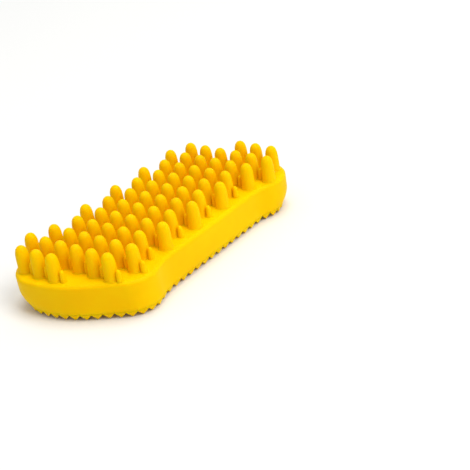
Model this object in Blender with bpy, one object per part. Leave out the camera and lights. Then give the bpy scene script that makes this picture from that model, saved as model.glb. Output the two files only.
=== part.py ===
"""Double-sided rubber curry brush: a waisted palm grip with long teeth above and short teeth below.

Metres, +Z up. The brush rests on its short side, its length runs along Y and the origin is under its middle.
The grip carries thirteen rows of long teeth on its upper side. Its lower side has a row of short pointed teeth
round the edge, and inside that row ridges with bays of short pyramids between them. The outline repeats when the
brush is turned half round about Z.
"""

import math

import bmesh
import bpy
from mathutils import Matrix, Vector

# Driving dimensions.
TOOTH_PITCH = 0.0092
ROW_PITCH = 0.0101
TOOTH_RADIUS = 0.0031
TOOTH_HEIGHT = 0.0125
PIN_RADIUS = 0.0013
PIN_HEIGHT = 0.0056
GRIP_THICKNESS = 0.0136
SHORT_PITCH = 0.0035
SHORT_LENGTH = 0.0053
SHORT_HEIGHT = 0.0034
RIDGE_CREST = 0.0008

# Seats of the tooth rows in the grip.
SEAT_GAP = 0.0003
PIN_MARGIN = 0.00005
ROW_BASE = 0.0015
SHORT_BASE = 0.0006
UPPER_LIP = 0.0005
LOWER_LIP = 0.0005
EDGE_ROW_WIDTH = 0.0036
EDGE_ROW_ROOT = 0.0012
EMBED = 0.0008

# Radii of the grip's two rims.
UPPER_EDGE = 0.0003
LOWER_EDGE = 0.0003

# How the short side is drawn in at the two corners that stand out.
CORNER_DIRECTION = (0.69, 0.72)
DRAWN_IN = 0.0022
DRAWN_FROM = 0.042
DRAWN_TO = 0.063
DRAWN_HEIGHT = 0.007

# Facets.
TOOTH_SIDES = 10
PIN_SIDES = 6
ARC_STEP = math.radians(9)
EDGE_STEPS = 3
WALL_STEPS = 3

# Half of the outline's corners: x in tooth pitches, y in row pitches and radius in tooth pitches. The other
# half is these turned half round.
HALF_CORNERS = (
    (-4.57, -6.91, 1.72),
    (0.19, -6.60, 5.8),
    (3.78, -4.54, 1.5),
    (3.10, -2.84, 3.8),
    (3.09, 4.0, 2.2),
)

# Teeth in each row from the middle outwards, and how far the row's centre sits off the middle, in tooth pitches.
ROWS_FROM_MIDDLE = ((6, 0.0), (5, 0.0), (6, 0.0), (5, 0.0), (6, 0.0), (6, 0.5), (3, 1.5))

# Runs of pointed teeth round the edge of the short side, in order from the near left corner.
EDGE_ROWS = (("near", 18), ("right", 17), ("far", 18), ("left", 17))

# Height of each ring of a tooth as a fraction of its length, and its radius as a fraction of the root's.
TOOTH_PROFILE = ((0.6, 0.94), (0.84, 0.78), (0.96, 0.46), (1.0, 0.0))
PIN_PROFILE = ((0.76, 0.78), (1.0, 0.0))

UNDERSIDE = SHORT_HEIGHT
TOPSIDE = UNDERSIDE + GRIP_THICKNESS
EDGE_ROW_INSET = LOWER_LIP + SEAT_GAP
BAY_INSET = EDGE_ROW_INSET + EDGE_ROW_WIDTH + SEAT_GAP
RIDGE_SPACING = 3 * SHORT_PITCH
SHORTEST_STRIP = 3 * SHORT_PITCH
ROUNDED_SHARE = 0.98
MOST_RIDGES = 8
PYRAMID_CLEARANCE = 0.00015
EDGE_TIP_INSET = 0.0015

YELLOW = (0.95, 0.55, 0.0, 1.0)


def clear_scene():
    for obj in list(bpy.data.objects):
        bpy.data.objects.remove(obj)


def silicone(name):
    material = bpy.data.materials.new(name)
    material.use_nodes = True
    shader = material.node_tree.nodes["Principled BSDF"]
    shader.inputs["Base Color"].default_value = YELLOW
    shader.inputs["Roughness"].default_value = 0.45
    shader.inputs["Metallic"].default_value = 0.0
    return material


def draw_in(bm):
    """Draw the short side in a little at the two corners that stand out, and round the wall down to it."""
    out = Vector(CORNER_DIRECTION).normalized()
    for vert in bm.verts:
        reach = vert.co.xy.dot(out)
        part = min(max((abs(reach) - DRAWN_FROM) / (DRAWN_TO - DRAWN_FROM), 0.0), 1.0)
        depth = min(max((UNDERSIDE + DRAWN_HEIGHT - vert.co.z) / DRAWN_HEIGHT, 0.0), 1.0)
        shift = -math.copysign(DRAWN_IN * part**2 * depth**2, reach) * out
        vert.co.xy += shift


def add_object(name, bm):
    draw_in(bm)
    bmesh.ops.recalc_face_normals(bm, faces=bm.faces)
    mesh = bpy.data.meshes.new(name)
    bm.to_mesh(mesh)
    bm.free()
    mesh.materials.append(silicone(name))
    obj = bpy.data.objects.new(name, mesh)
    bpy.context.collection.objects.link(obj)
    return obj


def outline_corners():
    half = [(Vector((x * TOOTH_PITCH, y * ROW_PITCH)), radius * TOOTH_PITCH) for x, y, radius in HALF_CORNERS]
    return half + [(-corner, radius) for corner, radius in half]


def rounded_corners():
    """Each corner, the direction into it, its turn, and its radius, cut back where two arcs would meet."""
    corners = outline_corners()
    sides = [corner - corners[i - 1][0] for i, (corner, _) in enumerate(corners)]
    turns = [math.atan2(side.cross(after), side.dot(after)) for side, after in zip(sides, sides[1:] + sides[:1])]
    reaches = [radius * math.tan(abs(turn) / 2) for (_, radius), turn in zip(corners, turns)]
    room = [ROUNDED_SHARE * side.length / (reaches[i - 1] + reaches[i]) for i, side in enumerate(sides)]
    rounded = []
    for i, (corner, radius) in enumerate(corners):
        limit = min(1.0, room[i], room[(i + 1) % len(corners)])
        rounded.append((corner, sides[i].normalized(), turns[i], radius * limit))
    return rounded


def outline(inset):
    """Points of the plan outline, moved in by the inset, with every corner rounded by an arc."""
    points = []
    for corner, before, turn, radius in rounded_corners():
        inward = Vector((-before.y, before.x)) * math.copysign(1.0, turn)
        start = corner - before * radius * math.tan(abs(turn) / 2)
        centre = start + inward * radius
        reach = radius - inset * math.copysign(1.0, turn)
        steps = max(2, math.ceil(abs(turn) / ARC_STEP))
        for step in range(steps + 1):
            spoke = -inward
            spoke.rotate(Matrix.Rotation(turn * step / steps, 2))
            points.append(centre + spoke * reach)
    return points


def add_ring(bm, inset, height):
    return [bm.verts.new((point.x, point.y, height)) for point in outline(inset)]


def grip_levels():
    """Inset and height of each ring of the grip, from the floor of the lower seat to that of the upper one."""
    turns = [math.pi / 2 * step / EDGE_STEPS for step in range(EDGE_STEPS + 1)]
    levels = [(LOWER_LIP, UNDERSIDE + SHORT_BASE + SEAT_GAP), (LOWER_LIP, UNDERSIDE)]
    for turn in turns:
        levels.append((LOWER_EDGE * (1 - math.sin(turn)), UNDERSIDE + LOWER_EDGE * (1 - math.cos(turn))))
    wall = UNDERSIDE + LOWER_EDGE
    step = (UNDERSIDE + DRAWN_HEIGHT - wall) / WALL_STEPS
    levels += [(0.0, wall + step * (number + 1)) for number in range(WALL_STEPS)]
    for turn in turns:
        levels.append((UPPER_EDGE * (1 - math.cos(turn)), TOPSIDE - UPPER_EDGE * (1 - math.sin(turn))))
    return levels + [(UPPER_LIP, TOPSIDE), (UPPER_LIP, TOPSIDE - ROW_BASE - SEAT_GAP)]


def make_grip():
    bm = bmesh.new()
    rings = [add_ring(bm, inset, height) for inset, height in grip_levels()]
    for lower, upper in zip(rings, rings[1:]):
        for i in range(len(lower)):
            bm.faces.new((lower[i - 1], lower[i], upper[i], upper[i - 1]))
    bm.faces.new(rings[0])
    bm.faces.new(rings[-1])
    add_object("grip_body", bm)


def turned(profile, radius, height, sides):
    """Mesh of a tooth turned about Z, its root sunk below Z = 0 for the join."""
    bm = bmesh.new()
    rings = [(-EMBED, radius)] + [(rise * height, part * radius) for rise, part in profile]
    path = [bm.verts.new((across, 0.0, up)) for up, across in rings]
    edges = [bm.edges.new(pair) for pair in zip(path, path[1:])]
    bmesh.ops.spin(
        bm, geom=path + edges, cent=(0, 0, 0), axis=(0, 0, 1), angle=math.tau, steps=sides, use_merge=True
    )
    bmesh.ops.remove_doubles(bm, verts=bm.verts, dist=1e-6)
    bmesh.ops.holes_fill(bm, edges=bm.edges, sides=sides)
    bmesh.ops.recalc_face_normals(bm, faces=bm.faces)
    mesh = bpy.data.meshes.new("turned")
    bm.to_mesh(mesh)
    bm.free()
    return mesh


def long_rows():
    """Each row's signed number, its teeth's X places and its Y place, from the near end to the far one."""
    last = len(ROWS_FROM_MIDDLE) - 1
    for number in range(-last, last + 1):
        count, offset = ROWS_FROM_MIDDLE[abs(number)]
        middle = math.copysign(offset, number) * TOOTH_PITCH
        xs = [middle + (i - (count - 1) / 2) * TOOTH_PITCH for i in range(count)]
        yield number, xs, number * ROW_PITCH


def depth_inside(point, line):
    """How far inside a closed anticlockwise line a point lies; less than zero outside it."""
    nearest, side = math.inf, 0.0
    for i, end in enumerate(line):
        along = end - line[i - 1]
        part = min(max((point - line[i - 1]).dot(along) / along.length_squared, 0.0), 1.0)
        away = point - line[i - 1] - along * part
        if away.length < nearest:
            nearest, side = away.length, along.cross(away)
    return math.copysign(nearest, side)


def pin_places(xs, y):
    """Pins of one row: halfway between its teeth, and one past each end where the face has room."""
    face = outline(UPPER_LIP + SEAT_GAP)
    places = [Vector((x, y)) for x in [xs[0] - TOOTH_PITCH / 2] + [x + TOOTH_PITCH / 2 for x in xs]]
    return [place for place in places if depth_inside(place, face) > PIN_RADIUS + PIN_MARGIN]


def band(inset, centre, along, half_width, thickness, top):
    """Slab of the outline between two parallel lines, its upper face at the given height."""
    bm = bmesh.new()
    bm.faces.new(add_ring(bm, inset, top))
    across = Vector((-along.y, along.x, 0.0))
    for side in (-1, 1):
        edge = centre + across * half_width * side
        bmesh.ops.bisect_plane(
            bm, geom=bm.verts[:] + bm.edges[:] + bm.faces[:], plane_co=edge, plane_no=across * side, clear_outer=True
        )
    grown = bmesh.ops.extrude_face_region(bm, geom=bm.faces[:])
    verts = [item for item in grown["geom"] if isinstance(item, bmesh.types.BMVert)]
    bmesh.ops.translate(bm, verts=verts, vec=(0, 0, -thickness))
    return bm


def unite(obj, helper):
    helper.hide_render = True
    helper.display_type = "WIRE"
    joint = obj.modifiers.new("teeth", "BOOLEAN")
    joint.operation = "UNION"
    joint.solver = "EXACT"
    joint.object = helper


def scatter(bm, mesh, places):
    for place in places:
        first = len(bm.verts)
        bm.from_mesh(mesh)
        bm.verts.ensure_lookup_table()
        bmesh.ops.translate(bm, verts=bm.verts[first:], vec=(place[0], place[1], TOPSIDE))


def make_long_rows():
    tooth = turned(TOOTH_PROFILE, TOOTH_RADIUS, TOOTH_HEIGHT, TOOTH_SIDES)
    pin = turned(PIN_PROFILE, PIN_RADIUS, PIN_HEIGHT, PIN_SIDES)
    last = len(ROWS_FROM_MIDDLE) - 1
    for number, xs, y in long_rows():
        name = f"long_tooth_row_{number + last + 1:02d}"
        reach = ROW_PITCH / 2 - SEAT_GAP / 2
        centre = Vector((0, y, 0))
        if abs(number) == last:
            reach += ROW_PITCH
            centre.y += math.copysign(ROW_PITCH, number)
        bm = band(UPPER_LIP + SEAT_GAP, centre, Vector((1, 0, 0)), reach, ROW_BASE, TOPSIDE)
        obj = add_object(name, bm)
        bm = bmesh.new()
        scatter(bm, tooth, [(x, y) for x in xs])
        scatter(bm, pin, pin_places(xs, y))
        unite(obj, add_object(name + "_teeth", bm))


def diagonal_span(offset, inset):
    """Where a diagonal line at this offset enters and leaves the inset outline, measured along the line."""
    along = Vector((1, -1)).normalized()
    across = Vector((1, 1)).normalized()
    points = outline(inset)
    hits = []
    for i, end in enumerate(points):
        start = points[i - 1]
        a = start.dot(across) - offset
        b = end.dot(across) - offset
        if (a < 0) != (b < 0):
            hits.append((start + (end - start) * a / (a - b)).dot(along))
    return (min(hits), max(hits)) if hits else (0.0, 0.0)


def common_span(offsets, inset):
    spans = [diagonal_span(offset, inset) for offset in offsets]
    return max(low for low, _ in spans), min(high for _, high in spans)


def turn_diagonal(bm):
    bmesh.ops.rotate(bm, verts=bm.verts, cent=(0, 0, 0), matrix=Matrix.Rotation(math.radians(-45), 3, "Z"))


def make_ridge(name, offset):
    """A straight ridge with a narrow flat crest, its ends sloped like its sides."""
    half = SHORT_PITCH / 2 - SEAT_GAP / 2
    low, high = common_span((offset - half, offset + half), BAY_INSET)
    bm = bmesh.new()
    bmesh.ops.create_cube(bm, size=1.0)
    bmesh.ops.scale(bm, verts=bm.verts, vec=(high - low, 2 * half, SHORT_BASE))
    bmesh.ops.translate(bm, verts=bm.verts, vec=((low + high) / 2, offset, UNDERSIDE + SHORT_BASE / 2))
    under = [face for face in bm.faces if face.calc_center_median().z < UNDERSIDE + SHORT_BASE / 4]
    bmesh.ops.inset_region(bm, faces=under, thickness=half - RIDGE_CREST / 2, depth=0)
    for vert in under[0].verts:
        vert.co.z = 0.0
    turn_diagonal(bm)
    add_object(name, bm)


def add_pointed_teeth(bm, cells, lean=0.5, root=0.0):
    """Raise a thin base on the cells, four corners each, and draw each cell out to a point.

    The lean is where the point stands between the cell's first edge, 0, and the opposite one, 1. The root is how
    far below the underside the slopes start.
    """
    for corners in cells:
        bm.faces.new([bm.verts.new((x, y, UNDERSIDE - root)) for x, y in corners])
    bmesh.ops.remove_doubles(bm, verts=bm.verts, dist=1e-6)
    bmesh.ops.recalc_face_normals(bm, faces=bm.faces)
    roots = bm.faces[:]
    grown = bmesh.ops.extrude_face_region(bm, geom=roots, use_keep_orig=True)
    verts = [item for item in grown["geom"] if isinstance(item, bmesh.types.BMVert)]
    bmesh.ops.translate(bm, verts=verts, vec=(0, 0, root + SHORT_BASE))
    for tip in bmesh.ops.poke(bm, faces=roots)["verts"]:
        a, b, c, d = min(cells, key=lambda cell: (sum(cell, Vector((0, 0))) / 4 - tip.co.xy).length)
        place = ((a + b) / 2).lerp((c + d) / 2, lean)
        tip.co = (place.x, place.y, PYRAMID_CLEARANCE)


def make_bay(name, offset):
    """Two columns of small pyramids on one thin base, filling the strip between two ridges."""
    near, far = offset - SHORT_PITCH + SEAT_GAP / 2, offset + SHORT_PITCH - SEAT_GAP / 2
    low, high = common_span((near, far), BAY_INSET)
    inner = range(math.ceil(low / SHORT_LENGTH + 0.4), math.floor(high / SHORT_LENGTH - 0.4) + 1)
    stations = [low] + [number * SHORT_LENGTH for number in inner] + [high]
    cells = []
    for left, right in zip(stations, stations[1:]):
        for edge in (near, far):
            corners = ((left, offset), (right, offset), (right, edge), (left, edge))
            cells.append([Vector(corner) for corner in corners])
    bm = bmesh.new()
    add_pointed_teeth(bm, cells)
    turn_diagonal(bm)
    add_object(name, bm)


def along_edge(outer, inner, distance):
    """Point at this distance along the outer line, and the point beside it on the inner one."""
    for i, start in enumerate(outer):
        following = (i + 1) % len(outer)
        length = (outer[following] - start).length
        if distance <= length:
            part = distance / length
            return start.lerp(outer[following], part), inner[i].lerp(inner[following], part)
        distance -= length


def make_edge_rows():
    """Pointed teeth that follow the outline in four runs."""
    outer = outline(EDGE_ROW_INSET)
    inner = outline(EDGE_ROW_INSET + EDGE_ROW_WIDTH)
    around = sum((outer[i - 1] - point).length for i, point in enumerate(outer))
    pitch = around / sum(count for _, count in EDGE_ROWS)
    first = 0
    for place, count in EDGE_ROWS:
        distances = [(first + i) * pitch for i in range(count)] + [(first + count) * pitch - SEAT_GAP]
        stations = [along_edge(outer, inner, distance) for distance in distances]
        bm = bmesh.new()
        lean = (EDGE_TIP_INSET - EDGE_ROW_INSET) / EDGE_ROW_WIDTH
        cells = [(a[0], b[0], b[1], a[1]) for a, b in zip(stations, stations[1:])]
        add_pointed_teeth(bm, cells, lean, EDGE_ROW_ROOT)
        add_object(f"edge_tooth_row_{place}", bm)
        first += count


def long_enough(offsets, half_width):
    """The offsets at which a strip of this half width has a useful length inside the edge row."""
    kept = []
    for offset in offsets:
        low, high = common_span((offset - half_width, offset + half_width), BAY_INSET)
        if high - low >= SHORTEST_STRIP:
            kept.append(offset)
    return kept


def make_short_side():
    make_edge_rows()
    ridges = [number * RIDGE_SPACING for number in range(-MOST_RIDGES, MOST_RIDGES + 1)]
    bays = [offset + RIDGE_SPACING / 2 for offset in ridges[:-1]]
    for i, offset in enumerate(long_enough(ridges, SHORT_PITCH / 2)):
        make_ridge(f"cross_ridge_{i + 1:02d}", offset)
    for i, offset in enumerate(long_enough(bays, SHORT_PITCH)):
        make_bay(f"short_tooth_bay_{i + 1:02d}", offset)


clear_scene()
make_grip()
make_long_rows()
make_short_side()
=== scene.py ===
import math

import bmesh
import bpy
from mathutils import Matrix, Vector


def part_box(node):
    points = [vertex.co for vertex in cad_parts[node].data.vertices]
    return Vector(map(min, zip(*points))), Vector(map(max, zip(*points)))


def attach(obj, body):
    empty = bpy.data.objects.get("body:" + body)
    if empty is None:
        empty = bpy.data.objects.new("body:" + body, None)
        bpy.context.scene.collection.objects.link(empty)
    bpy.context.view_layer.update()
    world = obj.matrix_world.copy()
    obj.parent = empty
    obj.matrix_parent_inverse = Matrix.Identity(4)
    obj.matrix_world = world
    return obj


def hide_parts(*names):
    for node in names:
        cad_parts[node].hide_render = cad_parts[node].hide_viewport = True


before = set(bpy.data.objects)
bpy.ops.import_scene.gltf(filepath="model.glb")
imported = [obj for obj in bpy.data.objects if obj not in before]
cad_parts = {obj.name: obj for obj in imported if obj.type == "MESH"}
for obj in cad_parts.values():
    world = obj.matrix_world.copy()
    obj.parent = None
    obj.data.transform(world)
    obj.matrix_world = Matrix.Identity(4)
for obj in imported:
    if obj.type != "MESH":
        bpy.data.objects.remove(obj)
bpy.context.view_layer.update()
print("frame loaded")

mm = 0.001
weldDistance = 0.002 * mm
slabLow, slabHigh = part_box("grip_body")  # the slab between the two faces of teeth


def linearColour(hexColour):
    channels = [int(hexColour[i:i + 2], 16) / 255 for i in (1, 3, 5)]
    return [c / 12.92 if c <= 0.04045 else ((c + 0.055) / 1.055) ** 2.4 for c in channels] + [1.0]


def addNode(tree, kind, settings=None, inputs=None, links=None):
    node = tree.nodes.new(kind)
    for name, value in (settings or {}).items():
        setattr(node, name, value)
    for name, value in (inputs or {}).items():
        node.inputs[name].default_value = value
    for name, source in (links or {}).items():
        tree.links.new(source, node.inputs[name])
    return node


# liquid silicone rubber, injection moulded in a blasted tool: a satin skin that light sinks into, so edges
# and thin tips glow, and the valleys turn to a deep orange instead of grey
silicone = {
    "colour": "#F8C900",
    "deepColour": "#F5C000",  # patches where the pigment lies a little denser
    "glow": (1.0, 0.5, 0.05),  # how far red, green and blue sink in, as shares of the depth
    "glowDepth": 1.6 * mm,
    "glowShare": 0.45,
    "roughness": 0.45,
    "glossSpread": (-0.05, 0.07),  # added to the roughness between the lows and the highs of the grain
    "shine": 0.04,
    "ior": 1.41,
    "blotchSize": 22 * mm,  # slow unevenness of the pigment
    "blotchDetail": 3.0,
    "blotchSoftness": 0.55,
    "blotchRange": (0.35, 0.7),
    "grainSize": 0.5 * mm,  # blasted tool marks, drawn coarser than the real 0.1 mm so that they show
    "grainDetail": 2.0,
    "grainSoftness": 0.6,
    "grainDepth": 0.012 * mm,
    "waveSize": 9 * mm,  # slight sink marks where the rubber shrank
    "waveDetail": 1.0,
    "waveDepth": 0.05 * mm,
}


def makeSilicone(name, settings):
    material = bpy.data.materials.new(name)
    material.use_nodes = True
    tree = material.node_tree
    tree.nodes.clear()
    place = addNode(tree, "ShaderNodeTexCoord").outputs["Object"]
    blotches = addNode(
        tree, "ShaderNodeTexNoise",
        inputs={
            "Scale": 1 / settings["blotchSize"],
            "Detail": settings["blotchDetail"],
            "Roughness": settings["blotchSoftness"],
        },
        links={"Vector": place},
    )
    density = addNode(
        tree, "ShaderNodeMapRange",
        inputs={"From Min": settings["blotchRange"][0], "From Max": settings["blotchRange"][1]},
        links={"Value": blotches.outputs["Fac"]},
    )
    colour = addNode(
        tree, "ShaderNodeMix",
        settings={"data_type": "RGBA"},
        inputs={6: linearColour(settings["colour"]), 7: linearColour(settings["deepColour"])},  # A and B
        links={"Factor": density.outputs["Result"]},
    )
    grain = addNode(
        tree, "ShaderNodeTexNoise",
        inputs={
            "Scale": 1 / settings["grainSize"],
            "Detail": settings["grainDetail"],
            "Roughness": settings["grainSoftness"],
        },
        links={"Vector": place},
    )
    waves = addNode(
        tree, "ShaderNodeTexNoise",
        inputs={"Scale": 1 / settings["waveSize"], "Detail": settings["waveDetail"]},
        links={"Vector": place},
    )
    grainBump = addNode(
        tree, "ShaderNodeBump",
        inputs={"Strength": 1.0, "Distance": settings["grainDepth"]},
        links={"Height": grain.outputs["Fac"]},
    )
    waveBump = addNode(
        tree, "ShaderNodeBump",
        inputs={"Strength": 1.0, "Distance": settings["waveDepth"]},
        links={"Height": waves.outputs["Fac"], "Normal": grainBump.outputs["Normal"]},
    )
    least, most = [settings["roughness"] + spread for spread in settings["glossSpread"]]
    gloss = addNode(
        tree, "ShaderNodeMapRange",
        inputs={"To Min": least, "To Max": most},
        links={"Value": grain.outputs["Fac"]},
    )
    rubber = addNode(
        tree, "ShaderNodeBsdfPrincipled",
        inputs={
            "IOR": settings["ior"],
            "Specular IOR Level": settings["shine"],
            "Subsurface Weight": settings["glowShare"],
            "Subsurface Radius": settings["glow"],
            "Subsurface Scale": settings["glowDepth"],
        },
        links={
            "Base Color": colour.outputs[2],
            "Roughness": gloss.outputs["Result"],
            "Normal": waveBump.outputs["Normal"],
        },
    )
    addNode(tree, "ShaderNodeOutputMaterial", links={"Surface": rubber.outputs["BSDF"]})
    return material


moulded = makeSilicone("mouldedSiliconeRubber", silicone)
print("silicone ready")


# the short side is drawn in a little at the two corners that stand out, and the wall rounds down to it
drawnIn = {
    "direction": (0.69, 0.72),
    "amount": 2.2 * mm,
    "from": 42 * mm,
    "to": 63 * mm,
    "height": 7 * mm,
    "cuts": (0.35, 0.5, 0.65, 0.8),  # rings that the wall is rounded with, as shares of the height
}


def drawIn(bm):
    out = Vector(drawnIn["direction"]).normalized()
    for vert in bm.verts:
        reach = vert.co.xy.dot(out)
        part = min(max((abs(reach) - drawnIn["from"]) / (drawnIn["to"] - drawnIn["from"]), 0.0), 1.0)
        depth = min(max((slabLow.z + drawnIn["height"] - vert.co.z) / drawnIn["height"], 0.0), 1.0)
        vert.co.xy -= math.copysign(drawnIn["amount"] * part**2 * depth**2, reach) * out


def finishPiece(name, bm, replaced):
    bmesh.ops.remove_doubles(bm, verts=bm.verts, dist=weldDistance)
    drawIn(bm)
    bmesh.ops.recalc_face_normals(bm, faces=bm.faces)
    mesh = bpy.data.meshes.new(name)
    bm.to_mesh(mesh)
    bm.free()
    mesh.materials.append(moulded)
    piece = bpy.data.objects.new(name, mesh)
    bpy.context.collection.objects.link(piece)
    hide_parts(replaced)
    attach(piece, "root")


def shadeSmooth(bm):
    for face in bm.faces:
        face.smooth = True


def newVerts(made):
    return [item for item in made["geom"] if isinstance(item, bmesh.types.BMVert)]


grip = {
    # half of the outline's corners: x in tooth pitches, y in row pitches and radius in tooth pitches
    "halfCorners": (
        (-4.57, -6.91, 1.72),
        (0.19, -6.60, 5.8),
        (3.78, -4.54, 1.5),
        (3.10, -2.84, 3.8),
        (3.09, 4.0, 2.2),
    ),
    "toothPitch": 9.2 * mm,
    "rowPitch": 10.1 * mm,
    "cornerSegments": 14,
    "upperEdge": 1.6 * mm,
    "lowerEdge": 0.45 * mm,
    "edgeSegments": 5,
    "shadingBand": 1.2 * mm,  # narrow strips that keep the roundings' shading off the flat faces
}


def outlineLine():
    # the outline's points in order, each corner a round arc, from where the near left corner begins
    half = [
        (Vector((x * grip["toothPitch"], y * grip["rowPitch"])), radius * grip["toothPitch"])
        for x, y, radius in grip["halfCorners"]
    ]
    corners = half + [(-corner, radius) for corner, radius in half]
    line = []
    for i, (corner, radius) in enumerate(corners):
        before = (corner - corners[i - 1][0]).normalized()
        after = (corners[(i + 1) % len(corners)][0] - corner).normalized()
        turn = math.atan2(before.cross(after), before.dot(after))
        inward = Vector((-before.y, before.x)) * math.copysign(1.0, turn)
        centre = corner - before * radius * math.tan(abs(turn) / 2) + inward * radius
        for step in range(grip["cornerSegments"] + 1):
            spoke = -inward * radius
            spoke.rotate(Matrix.Rotation(turn * step / grip["cornerSegments"], 2))
            line.append(centre + spoke)
    return line


edgeLine = outlineLine()


def depthInside(spot):
    # how far inside the outline a spot lies, negative outside it
    nearest = None
    for start, end in zip(edgeLine, edgeLine[1:] + edgeLine[:1]):
        along = end - start
        part = min(max((spot - start).dot(along) / along.length_squared, 0.0), 1.0)
        gap = spot - start - along * part
        if nearest is None or gap.length < nearest[0]:
            nearest = (gap.length, along.cross(gap))
    return math.copysign(nearest[0], nearest[1])


def cutLevel(bm, height):
    bmesh.ops.bisect_plane(
        bm, geom=bm.verts[:] + bm.edges[:] + bm.faces[:], plane_co=(0, 0, height), plane_no=(0, 0, 1)
    )


def makeGrip():
    bm = bmesh.new()
    bm.faces.new([bm.verts.new((spot.x, spot.y, slabLow.z)) for spot in edgeLine])
    grown = bmesh.ops.extrude_face_region(bm, geom=bm.faces[:])
    bmesh.ops.translate(bm, verts=newVerts(grown), vec=(0, 0, slabHigh.z - slabLow.z))
    for height, radius in ((slabHigh.z, grip["upperEdge"]), (slabLow.z, grip["lowerEdge"])):
        rim = [
            edge for edge in bm.edges
            if all(abs(vert.co.z - height) < weldDistance for vert in edge.verts)
        ]
        bmesh.ops.bevel(
            bm, geom=rim, affect="EDGES", segments=grip["edgeSegments"], profile=0.5, material=-1,
            offset=radius, offset_type="OFFSET", clamp_overlap=False,
        )
    shadeSmooth(bm)
    caps = [face for face in bm.faces if len(face.verts) >= len(edgeLine)]
    bmesh.ops.inset_region(bm, faces=caps, thickness=grip["shadingBand"], use_even_offset=True)
    cutLevel(bm, slabLow.z + grip["lowerEdge"] + grip["shadingBand"])
    cutLevel(bm, slabHigh.z - grip["upperEdge"] - grip["shadingBand"])
    for part in drawnIn["cuts"]:
        cutLevel(bm, slabLow.z + drawnIn["height"] * part)
    finishPiece("gripMoulding", bm, "grip_body")


makeGrip()
print("slab modelled")


longSide = {
    # teeth in each row from the middle outwards, and the row's shift in tooth pitches
    "rows": ((6, 0.0), (5, 0.0), (6, 0.0), (5, 0.0), (6, 0.0), (6, 0.5), (3, 1.5)),
    "toothRadius": 3.15 * mm,
    "toothHeight": 12.45 * mm,
    "toothSides": 20,
    # height and radius of the rings, as parts of the tooth's height and radius: a small root fillet, a slow
    # taper and an egg-shaped tip
    "toothProfile": (
        (-0.06, 1.2), (0.0, 1.16), (0.02, 1.06), (0.05, 1.01), (0.3, 0.99), (0.55, 0.96), (0.71, 0.91),
        (0.81, 0.83), (0.89, 0.7), (0.942, 0.54), (0.975, 0.36), (0.994, 0.18), (1.0, 0.0),
    ),
    "pinRadius": 1.35 * mm,
    "pinHeight": 5.5 * mm,
    "pinSides": 9,
    "pinProfile": (
        (-0.12, 1.25), (0.02, 1.1), (0.1, 1.0), (0.7, 0.88), (0.87, 0.68), (0.96, 0.38), (1.0, 0.0),
    ),
    "pinRoom": 2.1 * mm,  # from a pin's middle to the outline
}


def turnedSolid(profile, radius, height, sides):
    bm = bmesh.new()
    path = [bm.verts.new((part * radius, 0.0, rise * height)) for rise, part in profile]
    edges = [bm.edges.new(pair) for pair in zip(path, path[1:])]
    bmesh.ops.spin(
        bm, geom=path + edges, cent=(0, 0, 0), axis=(0, 0, 1), angle=math.tau, steps=sides, use_merge=True
    )
    bmesh.ops.remove_doubles(bm, verts=bm.verts, dist=weldDistance)
    bmesh.ops.holes_fill(bm, edges=bm.edges, sides=sides)
    bmesh.ops.recalc_face_normals(bm, faces=bm.faces)
    shadeSmooth(bm)
    mesh = bpy.data.meshes.new("turnedSolid")
    bm.to_mesh(mesh)
    bm.free()
    return mesh


def plant(bm, mesh, x, y):
    first = len(bm.verts)
    bm.from_mesh(mesh)
    bm.verts.ensure_lookup_table()
    bmesh.ops.translate(bm, verts=bm.verts[first:], vec=(x, y, slabHigh.z))


def rowTeeth(number):
    count, shift = longSide["rows"][abs(number)]
    middle = math.copysign(shift, number)
    return [(middle + i - (count - 1) / 2) * grip["toothPitch"] for i in range(count)]


def pinSpots(number):
    # halfway between a row's teeth, and one past each end where the face has room
    xs = rowTeeth(number)
    half = grip["toothPitch"] / 2
    spots = [Vector((x, number * grip["rowPitch"])) for x in [xs[0] - half] + [x + half for x in xs]]
    return [spot for spot in spots if depthInside(spot) > longSide["pinRoom"]]


def makeLongRows():
    tooth = turnedSolid(
        longSide["toothProfile"], longSide["toothRadius"], longSide["toothHeight"], longSide["toothSides"]
    )
    pin = turnedSolid(
        longSide["pinProfile"], longSide["pinRadius"], longSide["pinHeight"], longSide["pinSides"]
    )
    last = len(longSide["rows"]) - 1
    for number in range(-last, last + 1):
        bm = bmesh.new()
        for x in rowTeeth(number):
            plant(bm, tooth, x, number * grip["rowPitch"])
        for spot in pinSpots(number):
            plant(bm, pin, spot.x, spot.y)
        order = number + last + 1
        finishPiece(f"longToothRow{order:02d}", bm, f"long_tooth_row_{order:02d}")


makeLongRows()
print("long teeth and pins planted")


# short side: pointed teeth round the edge, and straight ridges with two columns of pyramids between them
shortSide = {
    "edgeRuns": (("near", 18), ("right", 17), ("far", 18), ("left", 17)),
    "edgeTipInset": 1.5 * mm,
    "edgeToothBack": 3.0 * mm,  # from its tip to its inner foot
    "edgeToothFront": 1.1 * mm,  # from its tip to its outer foot
    "edgeRoot": 0.7 * mm,  # from the slab down to where its slopes start
    "pitch": 3.5 * mm,  # of the pyramids across a bay
    "length": 5.3 * mm,  # of a pyramid along a bay
    "bayReach": 20,  # pyramids that a bay may hold to each side of its middle
    "bayRoom": 6.77 * mm,  # from a pyramid's middle to the outline
    "tipClearance": 0.15 * mm,  # the ridges alone touch the table
    "tipWidth": 0.35 * mm,
    "softening": 0.22 * mm,
    "sunk": 0.4 * mm,  # how far a solid reaches up into the slab
    "ridgeWidth": 3.2 * mm,
    "ridgeCrest": 0.8 * mm,
    "ridgeSoftening": 0.3 * mm,
}


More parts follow.
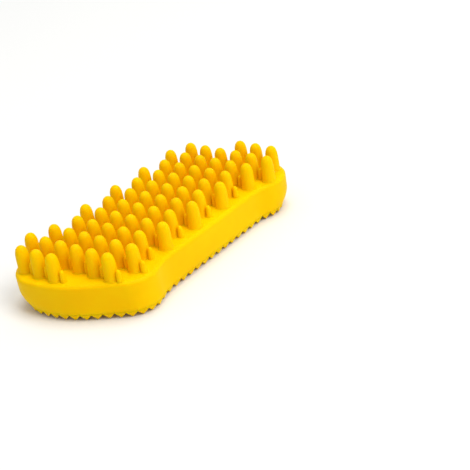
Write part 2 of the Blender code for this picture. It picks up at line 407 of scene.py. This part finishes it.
def pointedSolid(length, front, back, root):
    # a four-sided point that hangs from the slab, its tip above the origin; unequal feet make it lean
    bm = bmesh.new()
    bmesh.ops.create_cube(bm, size=1.0)
    height = slabLow.z - root - shortSide["tipClearance"]
    middle = Vector((0, (back - front) / 2, shortSide["tipClearance"] + height / 2))
    bmesh.ops.scale(bm, verts=bm.verts, vec=(length, front + back, height))
    bmesh.ops.translate(bm, verts=bm.verts, vec=middle)
    foot = max(bm.faces, key=lambda face: face.calc_center_median().z)
    tip = [vert for vert in bm.verts if vert not in foot.verts]
    grown = bmesh.ops.extrude_face_region(bm, geom=[foot])
    bmesh.ops.translate(bm, verts=newVerts(grown), vec=(0, 0, root + shortSide["sunk"]))
    for vert in tip:
        vert.co.x = math.copysign(shortSide["tipWidth"] / 2, vert.co.x)
        vert.co.y = math.copysign(shortSide["tipWidth"] / 2, vert.co.y - middle.y)
    edges = [edge for edge in bm.edges if any(vert in tip for vert in edge.verts)]
    bmesh.ops.bevel(
        bm, geom=edges, affect="EDGES", segments=1, profile=0.5, material=-1,
        offset=shortSide["softening"], offset_type="OFFSET", clamp_overlap=True,
    )
    bmesh.ops.recalc_face_normals(bm, faces=bm.faces)
    mesh = bpy.data.meshes.new("pointedSolid")
    bm.to_mesh(mesh)
    bm.free()
    return mesh


def hang(bm, mesh, spot, angle):
    first = len(bm.verts)
    bm.from_mesh(mesh)
    bm.verts.ensure_lookup_table()
    added = bm.verts[first:]
    bmesh.ops.rotate(bm, verts=added, cent=(0, 0, 0), matrix=Matrix.Rotation(angle, 3, "Z"))
    bmesh.ops.translate(bm, verts=added, vec=(spot.x, spot.y, 0))


def edgeSpots(pitch):
    # the tips' places one pitch apart along the outline, each with the direction that the outline has there
    spots = []
    travelled, wanted = 0.0, pitch / 2
    for start, end in zip(edgeLine, edgeLine[1:] + edgeLine[:1]):
        length = (end - start).length
        while wanted <= travelled + length:
            along = (end - start).normalized()
            inward = Vector((-along.y, along.x))
            spot = start + along * (wanted - travelled) + inward * shortSide["edgeTipInset"]
            spots.append((spot, math.atan2(along.y, along.x)))
            wanted += pitch
        travelled += length
    return spots


def makeEdgeRows():
    around = sum((end - start).length for start, end in zip(edgeLine, edgeLine[1:] + edgeLine[:1]))
    pitch = around / sum(count for _, count in shortSide["edgeRuns"])
    tooth = pointedSolid(
        pitch, shortSide["edgeToothFront"], shortSide["edgeToothBack"], shortSide["edgeRoot"]
    )
    spots = edgeSpots(pitch)
    first = 0
    for place, count in shortSide["edgeRuns"]:
        bm = bmesh.new()
        for spot, angle in spots[first:first + count]:
            hang(bm, tooth, spot, angle)
        finishPiece(f"edgeToothRow{place.title()}", bm, f"edge_tooth_row_{place}")
        first += count


diagonal = math.radians(-45)  # the way the ridges run, from the +X direction


def nodesNamed(start):
    return sorted(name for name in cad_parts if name.startswith(start))


def makeRidges():
    for node in nodesNamed("cross_ridge"):
        low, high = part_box(node)
        centre = (low + high) / 2
        length = (high.x - low.x) * math.sqrt(2) - shortSide["ridgeWidth"]
        bm = bmesh.new()
        bmesh.ops.create_cube(bm, size=1.0)
        height = slabLow.z + shortSide["sunk"]
        bmesh.ops.scale(bm, verts=bm.verts, vec=(length, shortSide["ridgeWidth"], height))
        bmesh.ops.translate(bm, verts=bm.verts, vec=(0, 0, height / 2))
        crest = [vert for vert in bm.verts if vert.co.z < slabLow.z / 2]
        slope = (shortSide["ridgeWidth"] - shortSide["ridgeCrest"]) / 2
        for vert in crest:
            vert.co.x -= math.copysign(slope, vert.co.x)
            vert.co.y -= math.copysign(slope, vert.co.y)
        edges = [edge for edge in bm.edges if any(vert in crest for vert in edge.verts)]
        bmesh.ops.bevel(
            bm, geom=edges, affect="EDGES", segments=3, profile=0.5, material=-1,
            offset=shortSide["ridgeSoftening"], offset_type="OFFSET", clamp_overlap=True,
        )
        bmesh.ops.rotate(bm, verts=bm.verts, cent=(0, 0, 0), matrix=Matrix.Rotation(diagonal, 3, "Z"))
        bmesh.ops.translate(bm, verts=bm.verts, vec=(centre.x, centre.y, 0))
        finishPiece("crossRidge" + node[-2:], bm, node)


def makeBays():
    pitch, step = shortSide["pitch"], shortSide["length"]
    tooth = pointedSolid(step, pitch / 2, pitch / 2, 0.0)
    along, across = Vector((1, -1)).normalized(), Vector((1, 1)).normalized()
    for node in nodesNamed("short_tooth_bay"):
        low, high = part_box(node)
        offset = ((low + high) / 2).xy.dot(across)
        bm = bmesh.new()
        for column in (-0.5, 0.5):
            for number in range(-shortSide["bayReach"], shortSide["bayReach"]):
                spot = along * (number + 0.5) * step + across * (offset + column * pitch)
                if depthInside(spot) > shortSide["bayRoom"]:
                    hang(bm, tooth, spot, diagonal)
        finishPiece("shortToothBay" + node[-2:], bm, node)


makeEdgeRows()
makeRidges()
makeBays()
print("short side hung")


# plain studio with a floor of white paper
studio = {
    "floorHalf": 3.0,
    "floorDrop": 0.1 * mm,  # below the ridges' crests
    "paper": "#EDEDEB",
    "paperRoughness": 0.9,
    "surround": 0.52,  # strength of the white light from all round
}


def makeStage():
    bm = bmesh.new()
    bmesh.ops.create_grid(bm, x_segments=1, y_segments=1, size=studio["floorHalf"])
    bmesh.ops.translate(bm, verts=bm.verts, vec=(0, 0, -studio["floorDrop"]))
    mesh = bpy.data.meshes.new("studioFloor")
    bm.to_mesh(mesh)
    bm.free()
    paper = bpy.data.materials.new("whitePaperSweep")
    paper.use_nodes = True
    shader = paper.node_tree.nodes["Principled BSDF"]
    shader.inputs["Base Color"].default_value = linearColour(studio["paper"])
    shader.inputs["Roughness"].default_value = studio["paperRoughness"]
    mesh.materials.append(paper)
    floor = bpy.data.objects.new("studioFloor", mesh)
    bpy.context.collection.objects.link(floor)


lamps = {
    "key": {"place": (1.7, 0.1, 1.9), "size": 1.3, "watts": 33.0},
    "top": {"place": (0.0, 0.5, 2.5), "size": 1.5, "watts": 28.0},
}


def makeLights():
    for name, lamp in lamps.items():
        data = bpy.data.lights.new(name + "Softbox", "AREA")
        data.shape = "SQUARE"
        data.size = lamp["size"]
        data.energy = lamp["watts"]
        light = bpy.data.objects.new(name + "Softbox", data)
        light.location = lamp["place"]
        light.rotation_euler = (-Vector(lamp["place"])).to_track_quat("-Z", "Y").to_euler()
        bpy.context.collection.objects.link(light)
    world = bpy.data.worlds.new("whiteStudio")
    world.use_nodes = True
    background = world.node_tree.nodes["Background"]
    background.inputs["Color"].default_value = (1.0, 1.0, 1.0, 1.0)
    background.inputs["Strength"].default_value = studio["surround"]
    bpy.context.scene.world = world


camera = {
    "place": (35.61, -34.96, 24.45),  # from the middle of the long side's face, in tooth pitches
    "back": (0.5843, -0.6652, 0.4649),
    "right": (0.7916, 0.5934, -0.1460),
    "lens": 85.9,
    "sensor": 36.0,
}


def makeCamera():
    data = bpy.data.cameras.new("studioCamera")
    data.lens = camera["lens"]
    data.sensor_width = camera["sensor"]
    back = Vector(camera["back"]).normalized()
    up = back.cross(Vector(camera["right"])).normalized()
    right = up.cross(back)
    turn = Matrix((right, up, back)).transposed().to_4x4()
    place = Vector(camera["place"]) * grip["toothPitch"] + Vector((0, 0, slabHigh.z))
    shooter = bpy.data.objects.new("studioCamera", data)
    shooter.matrix_world = Matrix.Translation(place) @ turn
    bpy.context.collection.objects.link(shooter)
    bpy.context.scene.camera = shooter


makeStage()
makeLights()
makeCamera()
bpy.context.scene.view_settings.view_transform = "Standard"
print("stage lit")
